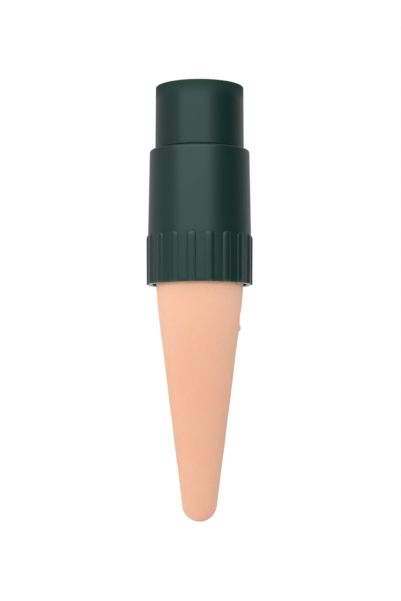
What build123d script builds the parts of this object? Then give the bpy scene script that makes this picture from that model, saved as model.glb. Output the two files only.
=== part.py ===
"""Self watering spike: a hollow clay cone under a screwed plastic head that takes a drinks bottle.

Millimetres, +Z up, origin at the lowest point of the cone's tip. Radii are about the Z axis.
The radii follow the bottle: bottle, neck, snap groove, union thread, collar, cone.
The heights follow the cone: cone, skirt, shoulder, rim.
"""

import os
from math import asin, atan, cos, degrees, hypot, radians, sin, tan

from build123d import *

# Screw finish of the drinks bottle
bottle_bead_radius = 14.0
bottle_thread_setback = 0.28
bottle_thread_depth = 1.25
bottle_pitch = 3.18
bottle_clearance = 0.25

# Neck and socket of the sleeve
neck_wall = 2.0
neck_length = 23.4
neck_draft = 0.14
rim_rounding = 0.5
mouth_depth = 6.0
mouth_chamfer = 0.6
socket_depth = 16.0
socket_ridge_root_width = 1.8
socket_ridge_crest_width = 0.9
socket_thread_turns = 2.1
socket_thread_start = 1.2
vent_slots = 4
vent_slot_width = 3.0

# Washer, web and tube of the sleeve
washer_thickness = 1.5
washer_setback = 2.0
washer_side_gap = 0.35
web_thickness = 1.6
water_hole_radius = 6.0
tube_step = 0.35
tube_wall = 1.5
foot_thickness = 1.6
foot_setback = 0.3

# Snap groove and flange that hold the sleeve in the grip shell
snap_bite = 0.39
groove_clearance = 0.2
neck_foot_rounding = 0.15
flange_bite = 0.6
flange_thickness = 1.9
shoulder_clearance = 0.1
seam_gap = 0.4

# Union thread between the collar and the grip shell
union_starts = 2
union_pitch = 3.0
union_ridge_depth = 0.85
union_ridge_root_width = 1.8
union_ridge_crest_width = 1.1
collar_thread_turns = 0.9
shell_thread_turns = 0.75
union_thread_drop = 2.4
flange_pass_clearance = 0.15
union_core_clearance = 0.4
union_crest_clearance = 0.25

# Collar, cement and gasket
collar_wall = 1.75
collar_lip_thickness = 1.0
collar_edge_chamfer = 0.3
lip_setback = 0.4
cement_thickness = 0.4
gasket_thickness = 1.5
gasket_setback = 0.5

# Clay cone
cone_height = 88.0
tip_radius = 6.4
clay_wall = 3.3
ledge_width = 1.9
ledge_rounding = 0.8
shoulder_curve_length = 12.0
shoulder_curve_draw = 0.92
spigot_length = 16.0
spigot_rounding = 0.6
throat_length = 8.0
throat_rounding = 30.0

# Raised nib of clay on the mould's parting line
nib_drop = 17.5
nib_ball_radius = 2.0
nib_proud = 0.6

# Grip shell
shell_length = 49.8
shell_wall = 1.5
skirt_overlap = 1.6
skirt_draft = 0.05
skirt_edge_rounding = 0.25
body_draft = 0.56
shoulder_thickness = 1.8
shoulder_rounding = 1.2

# Grip ribs
rib_count = 18
rib_length = 18.3
rib_width = 3.45
rib_proud_top = 0.62
rib_proud_bottom = 0.52
rib_rounding = 0.3
first_rib_angle = -99.0

# How far cutters run past a face, how far ridges reach into a wall, how close edges must match
overrun = 1.0
embed = 0.3
edge_match_share = 0.001

# Radii that follow
mouth_radius = bottle_bead_radius + bottle_clearance
socket_radius = mouth_radius - bottle_thread_setback
socket_crest_radius = socket_radius - bottle_thread_depth
rim_radius = mouth_radius + neck_wall
neck_foot_radius = rim_radius + neck_draft
tube_bore_radius = socket_radius - tube_step
tube_radius = tube_bore_radius + tube_wall
shell_hole_radius = neck_foot_radius - snap_bite
groove_radius = shell_hole_radius - groove_clearance
flange_radius = shell_hole_radius + flange_bite
foot_radius = flange_radius - foot_setback
shell_crest_radius = flange_radius + flange_pass_clearance
collar_radius = shell_crest_radius - union_core_clearance
collar_crest_radius = collar_radius + union_ridge_depth
skirt_bore_radius = collar_crest_radius + union_crest_clearance
skirt_radius = skirt_bore_radius + shell_wall
rib_root_radius = skirt_radius + skirt_draft
shoulder_radius = rib_root_radius - body_draft
cement_radius = collar_radius - collar_wall
spigot_radius = cement_radius - cement_thickness
spigot_bore_radius = spigot_radius - clay_wall
lip_bore_radius = spigot_bore_radius + lip_setback
cone_radius = spigot_radius + ledge_width
flank_top_radius = cone_radius - shoulder_curve_draw

# Heights that follow
flank_top = cone_height - shoulder_curve_length
throat_height = cone_height - throat_length
spigot_top = cone_height + spigot_length
lip_bottom = spigot_top + cement_thickness
collar_top = lip_bottom + collar_lip_thickness
gasket_top = collar_top + gasket_thickness
union_thread_top = collar_top - union_thread_drop
skirt_height = cone_height - skirt_overlap
rib_top = skirt_height + rib_length
shoulder_height = skirt_height + shell_length
shoulder_underside = shoulder_height - shoulder_thickness
flange_top = shoulder_underside - shoulder_clearance
neck_foot = shoulder_height + seam_gap
rim_height = neck_foot + neck_length
washer_top = rim_height - socket_depth
web_top = washer_top - washer_thickness
web_bottom = web_top - web_thickness
union_lead = union_pitch * union_starts

# Straight flank that is tangent to the ball of the tip
ball_to_flank_top = hypot(flank_top_radius, flank_top - tip_radius)
flank_angle = atan(flank_top_radius / (flank_top - tip_radius)) - asin(tip_radius / ball_to_flank_top)


def flank_radius(height, wall=0.0):
    """Radius of the cone's straight flank at a height, or of a surface one wall inside it."""
    outer = flank_top_radius - (flank_top - height) * tan(flank_angle)
    return outer - wall / cos(flank_angle)


def ball_tangent(radius):
    """Where a ball about the tip's centre meets the flank that is tangent to it."""
    return (radius * cos(flank_angle), tip_radius - radius * sin(flank_angle))


def spun(section):
    """A section of radius across and height up, turned about the Z axis."""
    return revolve(Plane.XZ * section, Axis.Z)


def turned(corners):
    """A solid of revolution from corners of radius, height and rounding."""
    points = [(radius, height) for radius, height, rounding in corners]
    outline = FilletPolyline(*points, radius=[corner[2] for corner in corners], close=True)
    return spun(make_face(outline))


def tube(inner, outer, bottom, top):
    """A plain ring."""
    return turned([(inner, bottom, 0), (outer, bottom, 0), (outer, top, 0), (inner, top, 0)])


def ridge(root, crest, bottom, lead, turns, root_width, crest_width):
    """One start of a right hand screw thread, its crest trimmed to a true cylinder."""
    outward = 1 if crest > root else -1
    slope = (root_width - crest_width) / 2 / abs(crest - root)
    past = embed * slope
    root_half = root_width / 2 + past
    crest_half = crest_width / 2 - past
    middle = bottom + root_width / 2
    section = make_face(
        Polyline(
            (root - outward * embed, middle - root_half),
            (crest + outward * embed, middle - crest_half),
            (crest + outward * embed, middle + crest_half),
            (root - outward * embed, middle + root_half),
            close=True,
        )
    )
    path = Helix(pitch=lead, height=lead * turns, radius=root, center=(0, 0, middle))
    swept = sweep(Plane.XZ * section, path, is_frenet=True)
    low = bottom - overrun
    high = bottom + lead * turns + root_width + overrun
    if outward > 0:
        return swept & tube(root - overrun, crest, low, high)
    return swept & tube(crest, root + overrun, low, high)


def union_thread(root, crest, turns):
    """The starts of the union thread, which end at one height on both pieces.

    The ridges inside the shell are turned so that they lie midway between the collar's.
    """
    bottom = union_thread_top - union_ridge_root_width - union_lead * turns
    start = ridge(
        root, crest, bottom, union_lead, turns, union_ridge_root_width, union_ridge_crest_width
    )
    lag = 0.0
    if crest < root:
        lag = 360 * (collar_thread_turns - turns - union_pitch / 2 / union_lead)
    return [Rot(0, 0, lag + 360 * index / union_starts) * start for index in range(union_starts)]


def rings(shape, radius, height):
    """The full circles about the axis with this radius and height."""
    near = radius * edge_match_share
    circles = shape.edges().filter_by(GeomType.CIRCLE)
    return [
        edge
        for edge in circles
        if abs(edge.radius - radius) < near and abs(edge.center().Z - height) < near
    ]


def make_clay_cone():
    """Hollow slip cast cone with a stepped spigot, and a nib on its parting line."""
    cavity_ball = tip_radius - clay_wall
    cavity_start = ball_tangent(cavity_ball)
    tip = TangentArc((0, 0), ball_tangent(tip_radius), tangent=(1, 0))
    flank = Line(tip @ 1, (flank_top_radius, flank_top))
    shoulder = TangentArc(flank @ 1, (cone_radius, cone_height), tangent=flank % 1)
    spigot = Polyline(
        shoulder @ 1,
        (spigot_radius, cone_height),
        (spigot_radius, spigot_top),
        (spigot_bore_radius, spigot_top),
    )
    bore = FilletPolyline(
        spigot @ 1,
        (spigot_bore_radius, cone_height),
        (flank_radius(throat_height, clay_wall), throat_height),
        cavity_start,
        radius=throat_rounding,
    )
    cavity_tip = TangentArc((0, clay_wall), cavity_start, tangent=(1, 0))
    middle = Line((0, clay_wall), (0, 0))
    outline = [tip, flank, shoulder, *spigot.edges(), *bore.edges(), cavity_tip, middle]
    cone = spun(make_face(outline))
    cone = fillet(rings(cone, cone_radius, cone_height), ledge_rounding)
    cone = fillet(rings(cone, spigot_radius, spigot_top), spigot_rounding)
    nib_height = cone_height - nib_drop
    nib_centre = flank_radius(nib_height) + nib_proud - nib_ball_radius
    return cone + Pos(nib_centre, 0, nib_height) * Sphere(nib_ball_radius)


def make_collar_cement():
    """Cement that fills the space between the spigot and the collar, and over the spigot's end."""
    return turned(
        [
            (spigot_radius, cone_height, 0),
            (cement_radius, cone_height, 0),
            (cement_radius, lip_bottom, 0),
            (lip_bore_radius, lip_bottom, 0),
            (lip_bore_radius, spigot_top, 0),
            (spigot_radius, spigot_top, spigot_rounding),
        ]
    )


def make_cone_collar():
    """Threaded cap ring that is cemented over the spigot."""
    body = turned(
        [
            (cement_radius, cone_height, 0),
            (collar_radius, cone_height, collar_edge_chamfer),
            (collar_radius, collar_top, collar_edge_chamfer),
            (lip_bore_radius, collar_top, 0),
            (lip_bore_radius, lip_bottom, 0),
            (cement_radius, lip_bottom, 0),
        ]
    )
    return body + union_thread(collar_radius, collar_crest_radius, collar_thread_turns)


def make_cone_gasket():
    """Flat ring that seals the sleeve's foot on the collar."""
    return tube(lip_bore_radius, foot_radius - gasket_setback, collar_top, gasket_top)


def make_bottle_sleeve():
    """Neck with the bottle's socket, a web with the water hole, and the tube down to the gasket."""
    foot_top = gasket_top + foot_thickness
    flange_bottom = flange_top - flange_thickness
    mouth_floor = rim_height - mouth_depth
    body = turned(
        [
            (tube_bore_radius, gasket_top, 0),
            (foot_radius, gasket_top, 0),
            (foot_radius, foot_top, 0),
            (tube_radius, foot_top, 0),
            (tube_radius, flange_bottom, 0),
            (flange_radius, flange_bottom, 0),
            (flange_radius, flange_top, 0),
            (groove_radius, flange_top, 0),
            (groove_radius, neck_foot, 0),
            (neck_foot_radius, neck_foot, neck_foot_rounding),
            (rim_radius, rim_height, rim_rounding),
            (mouth_radius + mouth_chamfer, rim_height, 0),
            (mouth_radius, rim_height - mouth_chamfer, 0),
            (mouth_radius, mouth_floor, 0),
            (socket_radius, mouth_floor, 0),
            (socket_radius, web_top, 0),
            (water_hole_radius, web_top, 0),
            (water_hole_radius, web_bottom, 0),
            (tube_bore_radius, web_bottom, 0),
        ]
    )
    return body + make_socket_thread()


def make_socket_thread():
    """Bottle thread in the socket, broken by straight vent slots as in a bottle's own cap."""
    bottom = washer_top + socket_thread_start
    whole = ridge(
        socket_radius,
        socket_crest_radius,
        bottom,
        bottle_pitch,
        socket_thread_turns,
        socket_ridge_root_width,
        socket_ridge_crest_width,
    )
    height = bottle_pitch * socket_thread_turns + socket_ridge_root_width
    across = 2 * (socket_radius + overrun)
    slot = Pos(0, 0, bottom + height / 2) * Box(across, vent_slot_width, height + overrun)
    for index in range(vent_slots // 2):
        whole = whole - Rot(0, 0, 180 * (2 * index + 1) / vent_slots) * slot
    return whole.solids()


def make_bottle_washer():
    """Flat ring on the web that the bottle's rim lands on."""
    inner = water_hole_radius + washer_setback
    return tube(inner, socket_radius - washer_side_gap, web_top, washer_top)


def make_rib():
    """One grip rib on the +X side, straight to the skirt's edge, with a round top."""
    arch = rib_width / 2
    from_side = Plane(origin=(0, 0, 0), x_dir=(0, 1, 0), z_dir=(1, 0, 0))
    leg_height = rib_length - arch
    leg = Pos(0, skirt_height + leg_height / 2) * Rectangle(rib_width, leg_height)
    crown = Pos(0, rib_top - arch) * Circle(arch)
    blank = extrude(from_side * (leg + crown), rib_root_radius + shell_wall)
    half_wall = shell_wall / 2
    envelope = turned(
        [
            (skirt_radius - half_wall, skirt_height, 0),
            (skirt_radius + rib_proud_bottom, skirt_height, 0),
            (rib_root_radius + rib_proud_top, rib_top, 0),
            (rib_root_radius - half_wall, rib_top, 0),
        ]
    )
    rib = blank & envelope
    front = rib.faces().sort_by(Axis.X)[-1]
    sides = [edge for edge in front.edges() if edge.center().Z > skirt_height + arch / 2]
    return fillet(sides, rib_rounding)


def make_grip_shell():
    """Union nut: a shoulder that clamps the sleeve's flange, and a ribbed skirt over the cone."""
    body = turned(
        [
            (skirt_bore_radius, skirt_height, skirt_edge_rounding),
            (skirt_radius, skirt_height, 0),
            (rib_root_radius, rib_top, 0),
            (shoulder_radius, shoulder_height, shoulder_rounding),
            (shell_hole_radius, shoulder_height, 0),
            (shell_hole_radius, shoulder_underside, 0),
            (shoulder_radius - shell_wall, shoulder_underside, 0),
            (rib_root_radius - shell_wall, rib_top, 0),
        ]
    )
    rib = make_rib()
    spacing = 360 / rib_count
    ribs = [Rot(0, 0, first_rib_angle + index * spacing) * rib for index in range(rib_count)]
    return body + ribs + union_thread(skirt_bore_radius, shell_crest_radius, shell_thread_turns)


def main():
    """Build every piece and write each to its own file."""
    os.makedirs("parts", exist_ok=True)
    pieces = {
        "clay_cone": make_clay_cone(),
        "collar_cement": make_collar_cement(),
        "cone_collar": make_cone_collar(),
        "cone_gasket": make_cone_gasket(),
        "bottle_sleeve": make_bottle_sleeve(),
        "bottle_washer": make_bottle_washer(),
        "grip_shell": make_grip_shell(),
    }
    for name, piece in pieces.items():
        export_step(piece, f"parts/{name}.step")
        print(name, "volume", round(piece.volume, 1), "valid", piece.is_valid)
    print("flank angle", round(degrees(flank_angle), 2), "degrees, union lead", union_lead)
    print("cone radius", round(cone_radius, 3), "skirt radius", round(skirt_radius, 3))
    print("shoulder", round(shoulder_height, 3), "rim", round(rim_height, 3))


main()
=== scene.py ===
"""Looks of the self watering spike: clay cone, ribbed grip, bottle neck, collar and seals.

Lengths here are millimetres unless a comment says otherwise, and become metres where a mesh is made.
The Z axis is the axis of the spike, and the camera stands on its -Y side.
"""

import logging
import math
from dataclasses import dataclass
from enum import Enum
from functools import cached_property
from typing import Callable, Sequence

import bmesh
import bpy
import numpy as np
from mathutils import Matrix, Vector, noise


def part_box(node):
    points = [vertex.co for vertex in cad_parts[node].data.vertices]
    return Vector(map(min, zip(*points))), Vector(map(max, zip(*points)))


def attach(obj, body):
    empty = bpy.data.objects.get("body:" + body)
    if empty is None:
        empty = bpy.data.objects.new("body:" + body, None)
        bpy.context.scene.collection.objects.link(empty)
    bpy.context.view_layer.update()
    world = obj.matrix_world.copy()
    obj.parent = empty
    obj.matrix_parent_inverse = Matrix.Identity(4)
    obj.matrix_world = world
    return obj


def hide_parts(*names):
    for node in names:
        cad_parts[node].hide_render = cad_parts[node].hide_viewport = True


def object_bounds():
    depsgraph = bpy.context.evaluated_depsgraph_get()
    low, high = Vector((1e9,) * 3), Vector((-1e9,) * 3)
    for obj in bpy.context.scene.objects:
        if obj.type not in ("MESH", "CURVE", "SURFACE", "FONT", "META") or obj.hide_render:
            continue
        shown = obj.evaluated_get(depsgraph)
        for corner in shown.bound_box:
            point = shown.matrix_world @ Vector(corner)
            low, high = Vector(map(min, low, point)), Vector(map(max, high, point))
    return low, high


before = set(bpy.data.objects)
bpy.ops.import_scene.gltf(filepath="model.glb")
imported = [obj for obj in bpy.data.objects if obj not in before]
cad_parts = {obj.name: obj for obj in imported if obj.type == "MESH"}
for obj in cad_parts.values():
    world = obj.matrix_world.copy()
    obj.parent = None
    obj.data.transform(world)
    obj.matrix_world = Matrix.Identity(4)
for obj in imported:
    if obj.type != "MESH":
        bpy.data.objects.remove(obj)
CAD_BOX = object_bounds()

LOG = logging.getLogger("watering_spike")
MM = 0.001
EDGE_MARK = "edge"
ON_AXIS = 1e-6
STRAIGHT = 1e-4
SHORTEST = 1e-4
SEED_SLANT = 0.7

Colour = tuple[float, float, float, float]
Shape = bmesh.types.BMesh
Output = bpy.types.NodeSocket


class Slot(Enum):
    """Material slots of the record."""

    TERRACOTTA = "terracotta"
    PLASTIC = "green_plastic"
    RUBBER = "rubber"
    CEMENT = "cement"


class Body(Enum):
    """Moving bodies of the frame."""

    CONE = "cone"
    SLEEVE = "sleeve"
    SHELL = "shell"


class Reach(Enum):
    """Surfaces that a lamp lights."""

    MATT = "matt"
    GLOSSY = "glossy"


def srgb(*levels: int) -> Colour:
    """Linear colour for a shader, from red, green and blue as a screen shows them, 0 to 255."""
    shares = [level / 255 for level in levels]
    return (*(part / 12.92 if part <= 0.04045 else ((part + 0.055) / 1.055) ** 2.4 for part in shares), 1.0)


def grey(level: float) -> Colour:
    """Linear grey, opaque."""
    return (level, level, level, 1.0)


def smooth(share: float) -> float:
    """Eases a share from 0 to 1, flat at both ends."""
    held = min(max(share, 0.0), 1.0)
    return held * held * (3 - 2 * held)


def polar(radius: float, angle: float, height: float) -> Vector:
    """Point at a radius, at an angle round the axis and at a height."""
    return Vector((radius * math.cos(angle), radius * math.sin(angle), height))


@dataclass(frozen=True)
class Span:
    """How far a node of the frame reaches: its radius, its foot and its top."""

    radius: float
    bottom: float
    top: float

    @classmethod
    def of(cls, node: str) -> "Span":
        """Reach of a node, by its name in the frame."""
        low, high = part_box(node)
        return cls(max(high.x, high.y, -low.x, -low.y) / MM, low.z / MM, high.z / MM)


REACH = {node: Span.of(node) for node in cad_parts}


@dataclass(frozen=True)
class Wave:
    """Smooth unevenness: its height, the distance between its swellings and the pattern's seed."""

    height: float
    length: float
    seed: float

    def at(self, place: Vector) -> float:
        """Height of the surface at a place, up or down."""
        pattern = Vector((self.seed, self.seed * SEED_SLANT, -self.seed))
        return self.height * noise.noise(place / self.length + pattern)


@dataclass(frozen=True)
class Dent:
    """A soft dent, or a crumb where its height is over 0: half width, half length and how high it sits."""

    height: float
    half_width: float
    half_length: float
    above: float

    def at(self, across: float, along: float) -> float:
        """Height of the surface, from the distances across and along the mould line."""
        away = math.hypot(across / self.half_width, (along - self.above) / self.half_length)
        return self.height * smooth(1 - away)


@dataclass(frozen=True)
class Corner:
    """A corner of a turned outline: radius, height and rounding."""

    radius: float
    height: float
    rounding: float = 0.0
    arc_step: float = math.radians(15)

    @property
    def point(self) -> Vector:
        """The corner's place before it is rounded."""
        return Vector((self.radius, self.height))

    def arc(self, before: Vector, after: Vector) -> list[Vector]:
        """Rounds the corner.

        Args:
            before: The point before it.
            after: The point after it.

        Returns:
            The points that take its place.
        """
        back = (before - self.point).normalized()
        ahead = (after - self.point).normalized()
        half = back.angle(ahead) / 2
        if math.pi / 2 - half < STRAIGHT:
            return [self.point]
        reach = self.rounding / math.tan(half)
        centre = self.point + (back + ahead).normalized() * self.rounding / math.sin(half)
        first = self.point + back * reach - centre
        last = self.point + ahead * reach - centre
        turn = math.copysign(math.pi - 2 * half, first.x * last.y - first.y * last.x)
        steps = max(2, math.ceil(abs(turn) / self.arc_step))
        return [centre + Matrix.Rotation(turn * step / steps, 2) @ first for step in range(steps + 1)]


def rounded(corners: Sequence[Corner]) -> list[Vector]:
    """Rounds the corners of an outline.

    Args:
        corners: Corners in order. Those at the ends of an open outline have no rounding.

    Returns:
        Points along the outline.
    """
    points = []
    for index, corner in enumerate(corners):
        if corner.rounding == 0:
            points.append(corner.point)
            continue
        following = corners[(index + 1) % len(corners)]
        points += corner.arc(corners[index - 1].point, following.point)
    return points


def divided(points: Sequence[Vector], step: float) -> list[Vector]:
    """Splits the long stretches of a line, so that a surface has points to shape it with.

    Args:
        points: Points of the line.
        step: Longest stretch to leave.

    Returns:
        The line with points added.
    """
    result = []
    for start, end in zip(points, points[1:]):
        parts = max(1, math.ceil((end - start).length / step))
        result += [start.lerp(end, part / parts) for part in range(parts)]
    return result + [points[-1]]


def ringed(corners: Sequence[tuple[float, ...]], step: float) -> list[Vector]:
    """Closed outline of corners, each a radius, a height and a rounding, with long stretches split."""
    points = rounded([Corner(*corner) for corner in corners])
    return divided(points + points[:1], step)[:-1]


@dataclass(frozen=True)
class Columns:
    """Columns of a turned mesh: how many, and how crowded they are at +X and -X."""

    count: int
    crowding: float = 0.0

    def angles(self) -> list[float]:
        """Angles of the columns round the axis."""
        turns = [2 * math.pi * index / self.count for index in range(self.count)]
        return [turn - self.crowding * math.sin(2 * turn) / 2 for turn in turns]


def bridge(shape: Shape, lower: list, upper: list) -> None:
    """Joins two rings of one mesh with faces, either of which may be a single point.

    Args:
        shape: The mesh.
        lower: Vertices of one ring.
        upper: Vertices of the other.
    """
    count = max(len(lower), len(upper))
    for index in range(count):
        following = (index + 1) % count
        if len(lower) == 1:
            shape.faces.new((lower[0], upper[following], upper[index]))
        elif len(upper) == 1:
            shape.faces.new((lower[index], lower[following], upper[0]))
        else:
            shape.faces.new((lower[index], lower[following], upper[following], upper[index]))


def turned(outline: Sequence[Vector], columns: Columns) -> Shape:
    """Turns an outline about the axis.

    Args:
        outline: Points of radius and height. One that begins on the axis also ends on it.
        columns: The columns to draw.

    Returns:
        A closed mesh in millimetres.
    """
    shape = bmesh.new()
    angles = columns.angles()
    rings = []
    for point in outline:
        used = angles if point.x > ON_AXIS else angles[:1]
        rings.append([shape.verts.new(polar(point.x, angle, point.y)) for angle in used])
    around = rings[:1] if outline[0].x > ON_AXIS else []
    for lower, upper in zip(rings, rings[1:] + around):
        bridge(shape, lower, upper)
    bmesh.ops.recalc_face_normals(shape, faces=shape.faces)
    return shape


def emboss(shape: Shape, relief: Callable[[Vector], float]) -> None:
    """Moves each vertex along its normal.

    Args:
        shape: The mesh, in millimetres.
        relief: Gives how far out a vertex goes, from its place.
    """
    shape.normal_update()
    moves = [(vertex, vertex.normal * relief(vertex.co)) for vertex in shape.verts]
    for vertex, move in moves:
        vertex.co += move


@dataclass(frozen=True)
class Ridge:
    """Ridge of a screw thread on a round wall, with ends that sink into the wall."""

    root: float
    crest: float
    root_width: float
    crest_width: float
    lead: float
    middle: float
    fade: float
    rounding: float = 0.18
    embed: float = 0.45
    sink: float = 0.12
    bevel_in: float = 0.3
    bevel_up: float = 0.25
    steps_per_turn: int = 120
    least_steps: int = 6

    def half_width(self, radius: float) -> float:
        """Half the ridge's width at a radius."""
        slope = (self.root_width - self.crest_width) / 2 / (self.crest - self.root)
        return self.root_width / 2 - slope * (radius - self.root)

    def section(self, growth: float) -> list[tuple[float, float]]:
        """Cross section of the ridge.

        Args:
            growth: 0 where the ridge has sunk into its wall, 1 where it stands at full height.

        Returns:
            Radius of each point and its height from the ridge's middle.
        """
        outward = math.copysign(1, self.crest - self.root)
        low = self.root - outward * self.sink
        top = low + (self.crest - low) * growth
        buried = self.root - outward * self.embed
        chamfer = self.rounding * growth
        shoulder = top - outward * chamfer
        points = [
            (buried, -self.half_width(buried)),
            (shoulder, -self.half_width(shoulder)),
            (top - outward * chamfer * self.bevel_in, chamfer * self.bevel_up - self.half_width(top)),
            (top, chamfer - self.half_width(top)),
        ]
        return points + [(radius, -rise) for radius, rise in reversed(points)]

    def mesh(self, first: float, last: float, turn_by: float = 0.0) -> Shape:
        """Draws the ridge between two angles of its helix.

        Args:
            first: Angle where it starts, in degrees, counted up the helix from its middle height.
            last: Angle where it ends.
            turn_by: Turns the whole ridge about the axis, in degrees.

        Returns:
            A closed mesh in millimetres.
        """
        shape = bmesh.new()
        steps = max(self.least_steps, round((last - first) / 360 * self.steps_per_turn))
        rings = []
        for step in range(steps + 1):
            angle = first + (last - first) * step / steps
            section = self.section(smooth(min(angle - first, last - angle) / self.fade))
            height = self.middle + self.lead * angle / 360
            heading = math.radians(angle + turn_by)
            ring = [polar(radius, heading, height + rise) for radius, rise in section]
            rings.append([shape.verts.new(place) for place in ring])
        for lower, upper in zip(rings, rings[1:]):
            bridge(shape, lower, upper)
        for end in (rings[0], rings[-1]):
            shape.faces.new(end)
        bmesh.ops.recalc_face_normals(shape, faces=shape.faces)
        return shape


@dataclass(frozen=True)
class UnionThread:
    """The two start screw between the cone's collar and the grip."""

    starts: int = 2
    pitch: float = 3.0
    depth: float = 0.85
    root_width: float = 1.8
    crest_width: float = 1.1
    drop: float = 2.4
    collar_turns: float = 0.9
    shell_turns: float = 0.75
    fade: float = 14.0

    def meshes(self, root: float, crest: float, turns: float, collar_top: float) -> list[Shape]:
        """Draws every start of the thread on one of its two pieces.

        Args:
            root: Radius of the wall that carries the ridges.
            crest: Radius of the ridges' crests.
            turns: How far each start goes round.
            collar_top: Height of the collar's top, which the thread hangs from.

        Returns:
            One closed mesh for each start.
        """
        lead = self.pitch * self.starts
        middle = collar_top - self.drop - self.root_width / 2 - lead * turns
        ridge = Ridge(root, crest, self.root_width, self.crest_width, lead, middle, self.fade)
        lag = 0.0
        if crest < root:
            lag = 360 * (self.collar_turns - turns - self.pitch / 2 / lead)
        headings = [lag + 360 * index / self.starts for index in range(self.starts)]
        return [ridge.mesh(0, 360 * turns, heading) for heading in headings]


UNION = UnionThread()


def to_mesh(name: str, shapes: Sequence[Shape]) -> bpy.types.Mesh:
    """Writes drawn shapes to one mesh.

    Args:
        name: Name of the mesh.
        shapes: The shapes in millimetres, freed here.

    Returns:
        The mesh in metres.
    """
    whole = bmesh.new()
    for shape in shapes:
        part = bpy.data.meshes.new(name + ".part")
        shape.to_mesh(part)
        shape.free()
        whole.from_mesh(part)
        bpy.data.meshes.remove(part)
    bmesh.ops.scale(whole, vec=(MM, MM, MM), verts=whole.verts)
    mesh = bpy.data.meshes.new(name)
    whole.to_mesh(mesh)
    whole.free()
    return mesh


def fused(name: str, body: Shape, additions: Sequence[Shape]) -> bpy.types.Mesh:
    """Joins a body and what stands on it into one closed skin.

    Args:
        name: Name of the mesh.
        body: The body.
        additions: Closed shapes that reach into the body and don't touch one another.

    Returns:
        The joined mesh in metres.
    """
    base = bpy.data.objects.new(name + ".base", to_mesh(name + ".base", [body]))
    tool = bpy.data.objects.new(name + ".tool", to_mesh(name + ".tool", additions))
    for item in (base, tool):
        bpy.context.scene.collection.objects.link(item)
    union = base.modifiers.new("union", "BOOLEAN")
    union.operation = "UNION"
    union.solver = "MANIFOLD"
    union.object = tool
    bpy.context.view_layer.update()
    ready = base.evaluated_get(bpy.context.evaluated_depsgraph_get())
    mesh = bpy.data.meshes.new_from_object(ready)
    mesh.name = name
    for item in (base, tool):
        spare = item.data
        bpy.data.objects.remove(item)
        bpy.data.meshes.remove(spare)
    return mesh


def rows_of(items: bpy.types.bpy_prop_collection, field: str, width: int, kind: type) -> np.ndarray:
    """Reads one field of every item of a mesh.

    Args:
        items: The mesh's vertices, edges or normals.
        field: Name of the field.
        width: How many numbers it holds.
        kind: Type of the numbers.

    Returns:
        One row for each item.
    """
    flat = np.empty(len(items) * width, kind)
    items.foreach_get(field, flat)
    return flat.reshape(-1, width)


def mark_edges(mesh: bpy.types.Mesh, faint: float = 0.35, full: float = 2.2) -> None:
    """Stores how sharply each vertex stands out, from 0 to 1, for wear and handling to follow.

    Args:
        mesh: The mesh in metres, which gets a vertex attribute.
        faint: Bend in radians a millimetre at which the mark starts.
        full: Bend at which it is whole.
    """
    places = rows_of(mesh.vertices, "co", 3, np.float32) / MM
    normals = rows_of(mesh.vertex_normals, "vector", 3, np.float32)
    ends = rows_of(mesh.edges, "vertices", 2, np.int32)
    bend = np.zeros(len(places))
    shares = np.zeros(len(places))
    for here, there in (ends.T, ends.T[::-1]):
        step = places[there] - places[here]
        length = np.maximum((step**2).sum(1), SHORTEST)
        np.add.at(bend, here, -2 * (normals[here] * step).sum(1) / length)
        np.add.at(shares, here, 1)
    bend /= np.maximum(shares, 1)
    mark = np.clip((bend - faint) / (full - faint), 0, 1).astype(np.float32)
    mesh.attributes.new(EDGE_MARK, "FLOAT", "POINT").data.foreach_set("value", mark)


class Graph:
    """Adds and links shader nodes in one tree. A value that a method takes may be another node's output."""

    def __init__(self, tree: bpy.types.NodeTree) -> None:
        """Starts on a tree, emptied first."""
        self.tree = tree
        tree.nodes.clear()

    def feed(self, socket: Output, value: object) -> None:
        """Links an output to a socket, or sets a plain value on it.

        Args:
            socket: The socket.
            value: An output or a plain value.
        """
        if isinstance(value, Output):
            self.tree.links.new(value, socket)
        else:
            socket.default_value = value

    def add(self, kind: str, inputs: dict | None = None, **settings: object) -> bpy.types.Node:
        """Adds a node.

        Args:
            kind: Type of the node.
            inputs: The value of each socket, by the socket's name or number.
            settings: Properties of the node.

        Returns:
            The node.
        """
        node = self.tree.nodes.new(kind)
        for name, value in settings.items():
            setattr(node, name, value)
        for key, value in (inputs or {}).items():
            self.feed(node.inputs[key], value)
        return node

    def math(self, operation: str, first: object, second: object) -> Output:
        """Result of one of Blender's math operations."""
        return self.add("ShaderNodeMath", {0: first, 1: second}, operation=operation).outputs[0]

    def ranged(
        self, value: object, low: float, high: float, to_low: float = 0.0, to_high: float = 1.0
    ) -> Output:
        """Value moved from one range to another and held at its ends."""
        inputs = {0: value, 1: low, 2: high, 3: to_low, 4: to_high}
        return self.add("ShaderNodeMapRange", inputs, clamp=True).outputs[0]

    def mixed(self, share: object, first: object, second: object) -> Output:
        """Two colours mixed by the share of the second."""
        inputs = {0: share, 6: first, 7: second}
        return self.add("ShaderNodeMix", inputs, data_type="RGBA", clamp_factor=True).outputs[2]

    def noise(self, places: object, scale: object, detail: float, roughness: float = 0.5) -> Output:
        """Noise with so many swellings a metre and so many finer layers of a strength."""
        inputs = {"Vector": places, "Scale": scale, "Detail": detail, "Roughness": roughness}
        return self.add("ShaderNodeTexNoise", inputs).outputs[0]


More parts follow.
